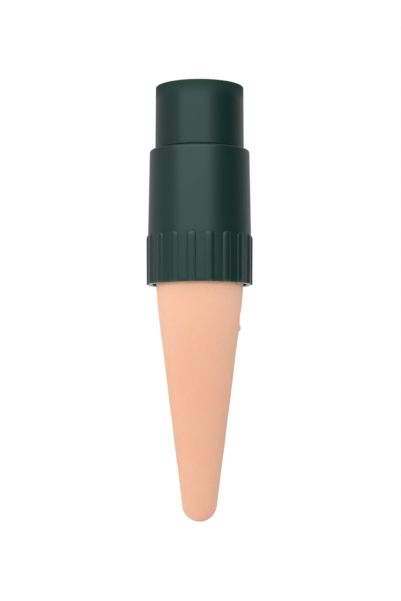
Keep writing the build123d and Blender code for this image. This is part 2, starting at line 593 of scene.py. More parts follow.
class Effect:
    """A surface effect that several finishes use, kept as one node group with a Vector input."""

    title: str
    inputs: tuple[str, ...]
    outputs: tuple[str, ...]
    kinds: dict[str, str] = {
        "Vector": "NodeSocketVector",
        "Colour": "NodeSocketColor",
        "Tint": "NodeSocketColor",
    }

    @classmethod
    def tree(cls) -> bpy.types.NodeTree:
        """Builds the group once.

        Returns:
            The group.
        """
        made = bpy.data.node_groups.get(cls.title)
        if made is not None:
            return made
        tree = bpy.data.node_groups.new(cls.title, "ShaderNodeTree")
        for way, names in (("INPUT", ("Vector", *cls.inputs)), ("OUTPUT", cls.outputs)):
            for name in names:
                kind = cls.kinds.get(name, "NodeSocketFloat")
                tree.interface.new_socket(name=name, in_out=way, socket_type=kind)
        graph = Graph(tree)
        source = graph.add("NodeGroupInput").outputs
        graph.add("NodeGroupOutput", cls.draw(graph, source))
        return tree

    @classmethod
    def draw(cls, graph: Graph, source: bpy.types.bpy_prop_collection) -> dict[str, Output]:
        """Draws the inside of the group.

        Args:
            graph: The group's nodes.
            source: The group's inputs.

        Returns:
            What feeds each output.
        """
        raise NotImplementedError


class Mottle(Effect):
    """Soft patches of a second tint, from noise with its contrast raised."""

    title = "Soft mottle"
    inputs = ("Colour", "Tint", "Patches", "Amount")
    outputs = ("Colour",)
    contrast = (0.36, 0.64)

    @classmethod
    def draw(cls, graph: Graph, source: bpy.types.bpy_prop_collection) -> dict[str, Output]:
        """Mixes the tint in by the patches.

        Args:
            graph: The group's nodes.
            source: The group's inputs.

        Returns:
            What feeds each output.
        """
        pattern = graph.noise(source["Vector"], source["Patches"], detail=3.0, roughness=0.55)
        share = graph.math("MULTIPLY", graph.ranged(pattern, *cls.contrast), source["Amount"])
        return {"Colour": graph.mixed(share, source["Colour"], source["Tint"])}


class Grain(Effect):
    """Fine grain of a surface, as a height and a tone, from noise of two sizes."""

    title = "Fine grain"
    inputs = ("Grains", "Coarseness")
    outputs = ("Height", "Tone")
    finer = 3.3
    fine_height = 0.5
    contrast = (0.3, 0.7)

    @classmethod
    def draw(cls, graph: Graph, source: bpy.types.bpy_prop_collection) -> dict[str, Output]:
        """Adds the two sizes up and takes the tone from the finer one.

        Args:
            graph: The group's nodes.
            source: The group's inputs.

        Returns:
            What feeds each output.
        """
        coarse = graph.noise(source["Vector"], source["Grains"], detail=2.0)
        finer = graph.math("MULTIPLY", source["Grains"], cls.finer)
        fine = graph.noise(source["Vector"], finer, detail=2.0, roughness=0.6)
        weighted = graph.math("MULTIPLY", coarse, source["Coarseness"])
        height = graph.math("ADD", weighted, graph.math("MULTIPLY", fine, cls.fine_height))
        return {"Height": height, "Tone": graph.ranged(fine, *cls.contrast)}


class Specks(Effect):
    """Scattered grains that differ from the rest."""

    title = "Scattered specks"
    inputs = ("Cells", "Share", "Radius")
    outputs = ("Mask",)
    soft_from = 0.6

    @classmethod
    def draw(cls, graph: Graph, source: bpy.types.bpy_prop_collection) -> dict[str, Output]:
        """Puts a round spot at the heart of some cells of a cell pattern.

        Args:
            graph: The group's nodes.
            source: The group's inputs.

        Returns:
            What feeds each output.
        """
        inputs = {"Vector": source["Vector"], "Scale": source["Cells"]}
        cells = graph.add("ShaderNodeTexVoronoi", inputs).outputs
        pick = graph.add("ShaderNodeSeparateColor", {0: cells["Color"]}).outputs[0]
        chosen = graph.math("LESS_THAN", pick, source["Share"])
        near = graph.math("DIVIDE", cells["Distance"], source["Radius"])
        return {"Mask": graph.math("MULTIPLY", graph.ranged(near, cls.soft_from, 1.0, 1.0, 0.0), chosen)}


class EdgeWear(Effect):
    """Rubbed edges, broken up so that they aren't drawn as a line."""

    title = "Rubbed edges"
    inputs = ("Edge", "Breaks", "Amount")
    outputs = ("Mask",)
    contrast = (0.35, 0.6)
    least = 0.15

    @classmethod
    def draw(cls, graph: Graph, source: bpy.types.bpy_prop_collection) -> dict[str, Output]:
        """Breaks up the stored edge mark with noise.

        Args:
            graph: The group's nodes.
            source: The group's inputs.

        Returns:
            What feeds each output.
        """
        pattern = graph.noise(source["Vector"], source["Breaks"], detail=3.0, roughness=0.6)
        broken = graph.ranged(pattern, *cls.contrast, cls.least, 1.0)
        worn = graph.math("MULTIPLY", source["Edge"], broken)
        return {"Mask": graph.math("MULTIPLY", worn, source["Amount"])}


@dataclass(frozen=True)
class Tint:
    """A second colour: how fine its pattern is, to a metre, and how much of it shows."""

    colour: Colour
    scale: float
    amount: float


@dataclass(frozen=True)
class Spots:
    """Scattered spots: colour, cells to a metre, share of cells, size in cells and how much they show."""

    colour: Colour
    cells: float
    share: float
    radius: float
    amount: float


@dataclass(frozen=True)
class Skin:
    """Fine grain: grains to a metre, coarseness, range of roughness, and bump with its depth in metres."""

    grains: float
    coarseness: float
    smoothest: float
    roughest: float
    bump: float
    depth: float


class Surface(Graph):
    """Nodes of one finish, with what its colour, roughness and height have come to so far."""

    def __init__(self, tree: bpy.types.NodeTree, colour: Colour, skin: Skin) -> None:
        """Starts with one colour and fine grain.

        Args:
            tree: The material's tree.
            colour: The colour under all others.
            skin: The grain.
        """
        super().__init__(tree)
        self.places = self.add("ShaderNodeTexCoord").outputs["Object"]
        grain = self.use(Grain, Grains=skin.grains, Coarseness=skin.coarseness)
        self.colour: object = colour
        self.rough = self.ranged(grain["Tone"], 0.0, 1.0, skin.smoothest, skin.roughest)
        self.height = grain["Height"]

    def use(self, effect: type[Effect], **values: object) -> bpy.types.bpy_prop_collection:
        """Places an effect with a value for each of its inputs, and gives its outputs."""
        inputs = {"Vector": self.places, **values}
        return self.add("ShaderNodeGroup", inputs, node_tree=effect.tree()).outputs

    def cover(self, mask: object, colour: Colour) -> None:
        """Lays another colour over the colour so far."""
        self.colour = self.mixed(mask, self.colour, colour)

    def roughen(self, mask: Output, by: float) -> None:
        """Adds to the roughness so far, or polishes where the number is under 0."""
        self.rough = self.math("ADD", self.rough, self.math("MULTIPLY", mask, by))

    def climb(self, low: float, high: float, most: float) -> Output:
        """Share that grows from 0 to its most between two heights on the spike."""
        height = self.add("ShaderNodeSeparateXYZ", {0: self.places}).outputs[2]
        return self.ranged(height, low * MM, high * MM, 0.0, most)

    def patch(self, tint: Tint, **places: Output) -> None:
        """Lays soft patches of a tint over the colour so far, on other places where they are given."""
        values = {"Colour": self.colour, "Tint": tint.colour, "Patches": tint.scale, "Amount": tint.amount}
        self.colour = self.use(Mottle, **values, **places)["Colour"]

    def scatter(self, spots: Spots) -> Output:
        """Lays scattered spots over the colour so far.

        Args:
            spots: The spots.

        Returns:
            Where they are.
        """
        mask = self.use(Specks, Cells=spots.cells, Share=spots.share, Radius=spots.radius)["Mask"]
        self.cover(self.math("MULTIPLY", mask, spots.amount), spots.colour)
        return mask

    def wear(self, tint: Tint) -> Output:
        """Lays a tint along rubbed edges.

        Args:
            tint: The tint.

        Returns:
            Where it is.
        """
        edge = self.add("ShaderNodeAttribute", attribute_name=EDGE_MARK).outputs["Fac"]
        mask = self.use(EdgeWear, Edge=edge, Breaks=tint.scale, Amount=tint.amount)["Mask"]
        self.cover(mask, tint.colour)
        return mask


@dataclass(frozen=True)
class Finish:
    """A material of the spike."""

    title: str
    slot: Slot
    body: Colour
    skin: Skin

    def dress(self, surface: Surface) -> None:
        """Draws what the finish has over its grain."""
        raise NotImplementedError

    def constants(self) -> dict[str, object]:
        """Shader values that are the same all over the surface."""
        return {}

    def material(self) -> bpy.types.Material:
        """Builds the material once.

        Returns:
            The material.
        """
        made = bpy.data.materials.get(self.title)
        if made is not None:
            return made
        material = bpy.data.materials.new(self.title)
        material.use_nodes = True
        surface = Surface(material.node_tree, self.body, self.skin)
        self.dress(surface)
        height = {"Height": surface.height, "Strength": self.skin.bump, "Distance": self.skin.depth}
        normal = surface.add("ShaderNodeBump", height).outputs[0]
        inputs = {"Base Color": surface.colour, "Roughness": surface.rough, "Normal": normal}
        shader = surface.add("ShaderNodeBsdfPrincipled", inputs | self.constants())
        surface.add("ShaderNodeOutputMaterial", {"Surface": shader.outputs[0]})
        return material

    def put_on(self, piece: bpy.types.Object) -> None:
        """Dresses a piece.

        Args:
            piece: The piece.
        """
        piece.data.materials.clear()
        piece.data.materials.append(self.material())


@dataclass(frozen=True)
class Terracotta(Finish):
    """Unglazed clay, fired pale, with warm patches, fine sand and pits, and painted light: paler towards the
    grip, which lightens the grip's shadow on the clay.
    """

    title: str = "fired_terracotta"
    slot: Slot = Slot.TERRACOTTA
    body: Colour = srgb(235, 191, 162)
    skin: Skin = Skin(2400.0, 0.9, 0.84, 0.97, 0.55, 0.00003)
    blush: Tint = Tint(srgb(238, 183, 163), 75.0, 0.75)
    ochre: Tint = Tint(srgb(233, 188, 148), 210.0, 0.45)
    # Painted light: a paler colour towards the grip, standing in for light that lightens the grip's shadow
    # on the clay.
    painted_pale_top: Colour = srgb(246, 207, 180)
    painted_pale_top_start: float = 45.0
    painted_pale_top_full: float = 95.0
    painted_pale_top_bend: float = 1.8
    dark_sand: Spots = Spots(srgb(196, 132, 100), 1300.0, 0.16, 0.3, 0.2)
    light_sand: Spots = Spots(srgb(252, 224, 202), 1100.0, 0.12, 0.32, 0.2)
    pits: Spots = Spots(srgb(196, 132, 100), 620.0, 0.14, 0.22, 0.12)
    pit_depth: float = 0.45
    dust: Tint = Tint(srgb(250, 214, 190), 900.0, 0.5)
    sheen_level: float = 0.25

    def dress(self, surface: Surface) -> None:
        """Draws patches, painted light that makes the top paler towards the grip against its shadow, sand,
        pits and pale rubbed edges.

        Args:
            surface: The finish's nodes.
        """
        surface.patch(self.blush)
        surface.patch(self.ochre)
        # Painted light: the clay is painted paler towards the grip, which lightens the shade that the grip
        # casts on it.
        painted_pale_top = surface.climb(self.painted_pale_top_start, self.painted_pale_top_full, 1.0)
        surface.cover(surface.math("POWER", painted_pale_top, self.painted_pale_top_bend), self.painted_pale_top)
        surface.scatter(self.dark_sand)
        surface.scatter(self.light_sand)
        sunk = surface.math("MULTIPLY", surface.scatter(self.pits), self.pit_depth)
        surface.height = surface.math("SUBTRACT", surface.height, sunk)
        surface.wear(self.dust)

    def constants(self) -> dict[str, object]:
        """Shader values that are the same all over the surface."""
        return {"Diffuse Roughness": 1.0, "Specular IOR Level": self.sheen_level}


@dataclass(frozen=True)
class GreenPlastic(Finish):
    """Moulded plastic of a very dark bluish green, satin, with painted light at the neck's thin lip: a
    greener colour standing in for light shining through it.
    """

    title: str = "moulded_green"
    slot: Slot = Slot.PLASTIC
    body: Colour = srgb(12, 40, 37)
    skin: Skin = Skin(3000.0, 0.7, 0.27, 0.35, 0.3, 0.000006)
    flow: Tint = Tint(srgb(14, 44, 42), 90.0, 0.7)
    flow_stretch: tuple[float, float, float] = (1.0, 1.0, 0.35)
    # Painted light: greener colour of the lip, standing in for light that shines through its thin wall.
    painted_lip_glow: Colour = srgb(2, 39, 28)
    lip_start: float = 154.5
    lip_full: float = 158.5
    lip_share: float = 0.85
    lip_roughness: float = 0.45
    rubbed: Tint = Tint(srgb(40, 72, 66), 700.0, 0.45)
    polish: float = 0.12
    mirror: Colour = (0.79, 1.0, 0.96, 1.0)
    ior: float = 1.47

    def dress(self, surface: Surface) -> None:
        """Draws flow marks, the painted glow of the neck's thin lip, which is also made rougher there, and
        rubbed edges.

        Args:
            surface: The finish's nodes.
        """
        inputs = {"Vector": surface.places, "Scale": self.flow_stretch}
        surface.patch(self.flow, Vector=surface.add("ShaderNodeMapping", inputs).outputs[0])
        # Painted light: the lip is painted greener for light shining through its thin wall, and the same
        # zone is made rougher.
        painted_lip_glow = surface.climb(self.lip_start, self.lip_full, self.lip_share)
        surface.cover(painted_lip_glow, self.painted_lip_glow)
        surface.roughen(painted_lip_glow, self.lip_roughness)
        surface.roughen(surface.wear(self.rubbed), -self.polish)

    def constants(self) -> dict[str, object]:
        """Shader values that are the same all over the surface."""
        return {"IOR": self.ior, "Specular Tint": self.mirror}


@dataclass(frozen=True)
class SealRubber(Finish):
    """Black sealing rubber with a faint pale bloom."""

    title: str = "seal_rubber"
    slot: Slot = Slot.RUBBER
    body: Colour = srgb(40, 40, 41)
    skin: Skin = Skin(2600.0, 0.8, 0.58, 0.78, 0.4, 0.00001)
    bloom: Tint = Tint(srgb(66, 66, 65), 260.0, 0.5)
    rubbed: Tint = Tint(srgb(66, 66, 65), 900.0, 0.4)

    def dress(self, surface: Surface) -> None:
        """Draws bloom and rubbed edges."""
        surface.patch(self.bloom)
        surface.wear(self.rubbed)


@dataclass(frozen=True)
class Cement(Finish):
    """Pale cured cement with damp patches and sand in it."""

    title: str = "cured_cement"
    slot: Slot = Slot.CEMENT
    body: Colour = srgb(214, 208, 196)
    skin: Skin = Skin(2200.0, 1.0, 0.82, 0.96, 0.6, 0.00003)
    damp: Tint = Tint(srgb(186, 178, 164), 320.0, 0.6)
    sand: Spots = Spots(srgb(150, 138, 120), 1500.0, 0.3, 0.35, 0.6)

    def dress(self, surface: Surface) -> None:
        """Draws damp patches and sand."""
        surface.patch(self.damp)
        surface.scatter(self.sand)


class Piece:
    """A turned piece of the spike that stands for one node of the frame and takes its reach from it."""

    title: str
    node: str
    body: Body
    finish: Finish
    columns: Columns
    crease: float = 38.0

    @property
    def span(self) -> Span:
        """Reach of the node."""
        return REACH[self.node]

    def outline(self) -> list[Vector]:
        """Cross section of the turned body."""
        raise NotImplementedError

    def relief(self, place: Vector) -> float:
        """How far out a vertex of the body moves."""
        return 0.0

    def additions(self) -> list[Shape]:
        """Closed shapes that stand on the body."""
        return []

    def mesh(self) -> bpy.types.Mesh:
        """Draws the piece.

        Returns:
            Its mesh in metres.
        """
        body = turned(self.outline(), self.columns)
        emboss(body, self.relief)
        additions = self.additions()
        return fused(self.title, body, additions) if additions else to_mesh(self.title, [body])

    def build(self) -> bpy.types.Object:
        """Makes the piece.

        Returns:
            The finished piece.
        """
        mesh = self.mesh()
        mesh.shade_smooth()
        mesh.set_sharp_from_angle(angle=math.radians(self.crease))
        mark_edges(mesh)
        piece = bpy.data.objects.new(self.title, mesh)
        bpy.context.scene.collection.objects.link(piece)
        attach(piece, self.body.value)
        self.finish.put_on(piece)
        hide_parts(self.node)
        LOG.info("%s: %d faces", self.title, len(mesh.polygons))
        return piece


@dataclass
class ClayCone(Piece):
    """The hollow slip cast cone, with its spigot under the collar and the nib on its mould line."""

    title: str = "cone_clay"
    node: str = "clay_cone"
    body: Body = Body.CONE
    finish: Finish = Terracotta()
    tip_radius: float = 6.4
    wall: float = 3.3
    ledge_width: float = 1.9
    ledge_rounding: float = 0.8
    shoulder_length: float = 12.0
    shoulder_draw: float = 0.92
    spigot_rounding: float = 0.6
    mouth_rounding: float = 0.4
    throat_drop: float = 8.0
    throat_rounding: float = 30.0
    bore_rounding: float = 5.0
    cement_thickness: float = 0.4
    tip_flat: float = 0.4
    calm: float = 3.0
    rubbed_down: float = 0.05
    waves: tuple[Wave, ...] = (
        Wave(0.075, 24, 3.1),
        Wave(0.035, 8, 7.7),
        Wave(0.014, 2.6, 1.3),
        Wave(0.007, 1.1, 5.5),
    )
    line_height: float = 0.055
    line_width: float = 0.28
    line_start: float = 3.0
    line_rise: float = 8.0
    line_kept: float = 0.45
    line_rubbing: Wave = Wave(1.3, 9, 2.2)
    line_drift: float = 0.05
    nib_drop: float = 17.5
    nib_ball: float = 2.0
    nib_proud: float = 0.6
    nib_crumble: Wave = Wave(0.12, 0.9, 4.4)
    nib_hollow: Dent = Dent(-0.2, 3.2, 2.6, 4.4)
    nib_crumb: Dent = Dent(0.16, 1.1, 0.75, -2.6)
    ball_rows: int = 18
    shoulder_rows: int = 14
    shoulder_stop: float = 1.4
    inner_rows: int = 6
    row_step: float = 0.55
    inner_step: float = 3.0
    columns: Columns = Columns(360, 0.5)

    @property
    def ledge(self) -> float:
        """Height of the ledge under the grip, where the cement starts."""
        return REACH["collar_cement"].bottom

    @property
    def spigot_radius(self) -> float:
        """Outside radius of the spigot, inside the cement."""
        return REACH["collar_cement"].radius - self.cement_thickness

    @property
    def cone_radius(self) -> float:
        """Radius of the ledge under the grip."""
        return self.spigot_radius + self.ledge_width

    @cached_property
    def flank_top(self) -> Vector:
        """Where the straight flank ends and the curve up to the ledge starts."""
        return Vector((self.cone_radius - self.shoulder_draw, self.ledge - self.shoulder_length))

    @cached_property
    def flank_angle(self) -> float:
        """Lean of the straight flank, which is tangent to the ball of the tip."""
        radius, rise = self.flank_top.x, self.flank_top.y - self.tip_radius
        return math.atan(radius / rise) - math.asin(self.tip_radius / math.hypot(radius, rise))

    def flank_radius(self, height: float) -> float:
        """Radius of the straight flank at a height."""
        return self.flank_top.x - (self.flank_top.y - height) * math.tan(self.flank_angle)

    def ball(self, radius: float, steps: int) -> list[Vector]:
        """Points round a ball about the tip's centre, from the axis to the flank."""
        turns = [(math.pi / 2 - self.flank_angle) * step / steps for step in range(steps + 1)]
        return [Vector((radius * math.sin(a), self.tip_radius - radius * math.cos(a))) for a in turns]

    def shoulder(self) -> list[Vector]:
        """Points of the curve from the flank up to just under the ledge.

        Returns:
            The points, without the flank's own.
        """
        inward = Vector((-math.cos(self.flank_angle), math.sin(self.flank_angle)))
        chord = Vector((self.cone_radius, self.ledge)) - self.flank_top
        radius = chord.length_squared / (2 * inward.dot(chord))
        centre = self.flank_top + inward * radius
        first = self.flank_top - centre
        turn = 2 * math.asin(chord.length / 2 / radius)
        rows = self.shoulder_rows
        points = [centre + Matrix.Rotation(turn * row / rows, 2) @ first for row in range(1, rows + 1)]
        limit = self.ledge - self.shoulder_stop * self.ledge_rounding
        return [point for point in points if point.y < limit]

    def outline(self) -> list[Vector]:
        """Draws the cross section.

        Returns:
            Points from the outside of the tip, over the spigot, to the inside of the tip.
        """
        throat = self.ledge - self.throat_drop
        bore = self.spigot_radius - self.wall
        slack = self.wall / math.cos(self.flank_angle)
        inner = self.ball(self.tip_radius - self.wall, self.inner_rows)
        outer = [*self.ball(self.tip_radius, self.ball_rows), self.flank_top, *self.shoulder()]
        corners = [Corner(*point) for point in outer] + [
            Corner(self.cone_radius, self.ledge, self.ledge_rounding),
            Corner(self.spigot_radius, self.ledge),
            Corner(self.spigot_radius, self.span.top, self.spigot_rounding),
            Corner(bore, self.span.top, self.mouth_rounding),
            Corner(bore, self.ledge, self.bore_rounding),
            Corner(self.flank_radius(throat) - slack, throat, self.throat_rounding),
        ]
        points = rounded(corners + [Corner(*point) for point in reversed(inner)])
        mouth = 1 + max(index for index, point in enumerate(points) if point.x > bore + self.wall / 2)
        return divided(points[:mouth], self.row_step) + divided(points[mouth:], self.inner_step)

    def relief(self, place: Vector) -> float:
        """Unevenness of the clay's outside.

        Args:
            place: A vertex.

        Returns:
            How far out it moves.
        """
        radius = math.hypot(place.x, place.y)
        skin = self.flank_radius(min(place.z, self.flank_top.y)) - self.wall / 2
        depth = (place - Vector((0, 0, self.tip_radius))).length
        in_tip = radius < self.tip_radius and depth < self.tip_radius - self.wall / 2
        if in_tip or place.z > self.ledge or (place.z > self.tip_radius and radius < skin):
            return 0.0
        held = smooth((self.ledge - place.z) / self.calm) * smooth((place.z - self.tip_flat) / self.calm)
        uneven = sum(wave.at(place) for wave in self.waves)
        return held * (uneven + self.mould_line(place) + self.nib(place)) - self.rubbed_down * held

    def mould_line(self, place: Vector) -> float:
        """Height of the faint line that the two halves of the mould leave, rubbed down in places.

        Args:
            place: A vertex.

        Returns:
            How far out it moves.
        """
        line = self.line_height * math.exp(-((place.y / self.line_width) ** 2))
        rubbing = self.line_rubbing.at(Vector((place.x * self.line_drift, 0, place.z)))
        return line * smooth(self.line_kept + rubbing) * smooth((place.z - self.line_start) / self.line_rise)

    def nib(self, place: Vector) -> float:
        """Height of the nib of clay on the mould line, the hollow above it and the crumb under it.

        Args:
            place: A vertex.

        Returns:
            How far out it moves.
        """
        if place.x < 0:
            return 0.0
        along = place.z - (self.ledge - self.nib_drop)
        away = math.hypot(place.y, along)
        buried = self.nib_ball - self.nib_proud
        rise = 0.0
        if away < math.sqrt(self.nib_ball**2 - buried**2):
            rise = math.sqrt(self.nib_ball**2 - away**2) - buried
            rise *= 1 + self.nib_crumble.at(place)
        return rise + self.nib_hollow.at(place.y, along) + self.nib_crumb.at(place.y, along)


@dataclass
class GripShell(Piece):
    """The grip: a union nut with a rounded shoulder and a ribbed skirt."""

    title: str = "grip_ribbed"
    node: str = "grip_shell"
    body: Body = Body.SHELL
    finish: Finish = GreenPlastic()
    crease: float = 24.0
    wall: float = 1.5
    crest_clearance: float = 0.25
    flange_bite: float = 0.6
    skirt_draft: float = 0.05
    body_draft: float = 0.56
    shoulder_thickness: float = 1.8
    shoulder_rounding: float = 0.9
    edge_rounding: float = 0.2
    waves: tuple[Wave, ...] = (Wave(0.014, 13, 6.1), Wave(0.006, 5, 8.2))
    rib_count: int = 18
    rib_length: float = 18.3
    rib_width: float = 3.45
    rib_proud_top: float = 0.62
    rib_proud_bottom: float = 0.52
    rib_rounding: float = 0.16
    rib_fall: float = 0.45
    rib_roundness: float = 2.3
    rib_lift: float = 0.04
    rib_embed: float = 0.3
    foot_inwards: tuple[float, float] = (1.0, 0.5)
    rib_rows: int = 12
    arch_rows: int = 9
    rib_columns: int = 6
    rounding_steps: int = 4
    first_rib: float = -99.0
    thread_flange_clearance: float = 0.15
    row_step: float = 1.1
    columns: Columns = Columns(324)

    @property
    def bore(self) -> float:
        """Inside radius of the skirt."""
        return REACH["cone_collar"].radius + self.crest_clearance

    @property
    def skirt_radius(self) -> float:
        """Outside radius of the skirt between its ribs, at its lower edge."""
        return self.bore + self.wall

    @property
    def widest(self) -> float:
        """Outside radius at the ribs' crowns."""
        return self.skirt_radius + self.skirt_draft

    @property
    def rib_top(self) -> float:
        """Height of the ribs' crowns."""
        return self.span.bottom + self.rib_length

    def outline(self) -> list[Vector]:
        """Draws the cross section without ribs and thread.

        Returns:
            Points along the outline.
        """
        bottom, top = self.span.bottom, self.span.top
        shoulder = self.widest - self.body_draft
        hole = REACH["bottle_sleeve"].radius - self.flange_bite
        underside = top - self.shoulder_thickness
        edge = self.edge_rounding
        corners = [
            (self.bore, bottom, edge),
            (self.skirt_radius, bottom, edge),
            (self.widest, self.rib_top),
            (shoulder, top, self.shoulder_rounding),
            (hole, top, edge),
            (hole, underside, edge),
            (shoulder - self.wall, underside, 2 * edge),
            (self.widest - self.wall, self.rib_top),
        ]
        return ringed(corners, self.row_step)

    def relief(self, place: Vector) -> float:
        """Slight unevenness of the outside, where the plastic shrank in its mould."""
        outside = math.hypot(place.x, place.y) >= self.skirt_radius - self.wall / 2
        return sum(wave.at(place) for wave in self.waves) if outside else 0.0

    def half_rib(self) -> list[tuple[Vector, Vector]]:
        """Left half of a rib's outline, from its foot to its crown.

        Returns:
            For each point, its place across and up, and the way inwards.
        """
        half = self.rib_width / 2
        foot = self.span.bottom + self.rib_lift
        centre = self.rib_top - half
        points = [(Vector((-half, foot)), Vector(self.foot_inwards))]
        for row in range(1, self.rib_rows + 1):
            height = foot + (centre - foot) * row / self.rib_rows
            points.append((Vector((-half, height)), Vector((1, 0))))
        for row in range(1, self.arch_rows + 1):
            turn = math.pi - math.pi / 2 * row / self.arch_rows
            way = Vector((math.cos(turn), math.sin(turn)))
            points.append((Vector((0, centre)) + way * half, -way))
        return points

    def rib_levels(self) -> list[tuple[float, float]]:
        """Rings of a rib, from its root to its face.

        Returns:
            How far in and how far below the face each ring lies.
        """
        turns = [math.pi / 2 * step / self.rounding_steps for step in range(1, self.rounding_steps + 1)]
        arc = [(self.rib_rounding * (1 - math.cos(a)), self.rib_rounding * (1 - math.sin(a))) for a in turns]
        return [(0.0, self.rib_proud_top + self.rib_embed), (0.0, self.rib_rounding), *arc]

    def across(self, reach: float) -> list[float]:
        """Distances from a rib's middle line of the columns between its two sides."""
        return [-reach + 2 * reach * step / self.rib_columns for step in range(1, self.rib_columns)]

    def rib_point(self, across: float, height: float, below: float) -> Vector:
        """A point of the rib on the +X side.

        Args:
            across: Distance from the rib's middle line.
            height: Height up the axis.
            below: How far under the rib's face.

        Returns:
            The point.
        """
        share = (height - self.span.bottom) / self.rib_length
        low = self.skirt_radius + self.rib_proud_bottom
        high = self.widest + self.rib_proud_top
        half = self.rib_width / 2
        aside = math.hypot(across, max(0.0, height - (self.rib_top - half))) / half
        radius = low + (high - low) * share - self.rib_fall * aside**self.rib_roundness - below
        return Vector((math.sqrt(radius**2 - across**2), across, height))

    def rib(self) -> Shape:
        """Draws the rib on the +X side, rounded along its edges, with a round crown.

        Returns:
            A closed mesh in millimetres.
        """
        shape = bmesh.new()
        rings = []
        for inset, below in self.rib_levels():
            left = [spot + way * inset for spot, way in self.half_rib()]
            right = [Vector((-spot.x, spot.y)) for spot in reversed(left[:-1])]
            foot = [Vector((-aside, left[0].y)) for aside in self.across(-left[0].x)]
            places = [self.rib_point(spot.x, spot.y, below) for spot in left + right + foot]
            rings.append([shape.verts.new(place) for place in places])
        for lower, upper in zip(rings, rings[1:]):
            bridge(shape, lower, upper)
        for end in (0, -1):
            self.cover(shape, rings[end], self.rib_levels()[end][1])
        bmesh.ops.recalc_face_normals(shape, faces=shape.faces)
        return shape

    def cover(self, shape: Shape, ring: list, below: float) -> None:
        """Closes one end of a rib with a face that follows the skirt's curve.

        Args:
            shape: The rib.
            ring: Vertices round the end.
            below: Depth of the end under the rib's face.
        """
        crown = self.rib_rows + self.arch_rows
        rows = [[ring[0], *reversed(ring[2 * crown + 1 :]), ring[2 * crown]]]
        for row in range(1, crown):
            left, right = ring[row], ring[2 * crown - row]
            places = [self.rib_point(aside, left.co.z, below) for aside in self.across(abs(left.co.y))]
            rows.append([left, *[shape.verts.new(place) for place in places], right])
        for lower, upper in zip(rows, rows[1:]):
            for step in range(self.rib_columns):
                shape.faces.new((lower[step], lower[step + 1], upper[step + 1], upper[step]))
        for left, right in zip(rows[-1], rows[-1][1:]):
            shape.faces.new((left, right, ring[crown]))

    def additions(self) -> list[Shape]:
        """Draws the ribs and the inner screw.

        Returns:
            One closed mesh for each rib and each start of the screw.
        """
        ribs = []
        for index in range(self.rib_count):
            rib = self.rib()
            turn = math.radians(self.first_rib + 360 * index / self.rib_count)
            bmesh.ops.rotate(rib, matrix=Matrix.Rotation(turn, 3, "Z"), verts=rib.verts)
            ribs.append(rib)
        crest = REACH["bottle_sleeve"].radius + self.thread_flange_clearance
        return ribs + UNION.meshes(self.bore, crest, UNION.shell_turns, REACH["cone_collar"].top)


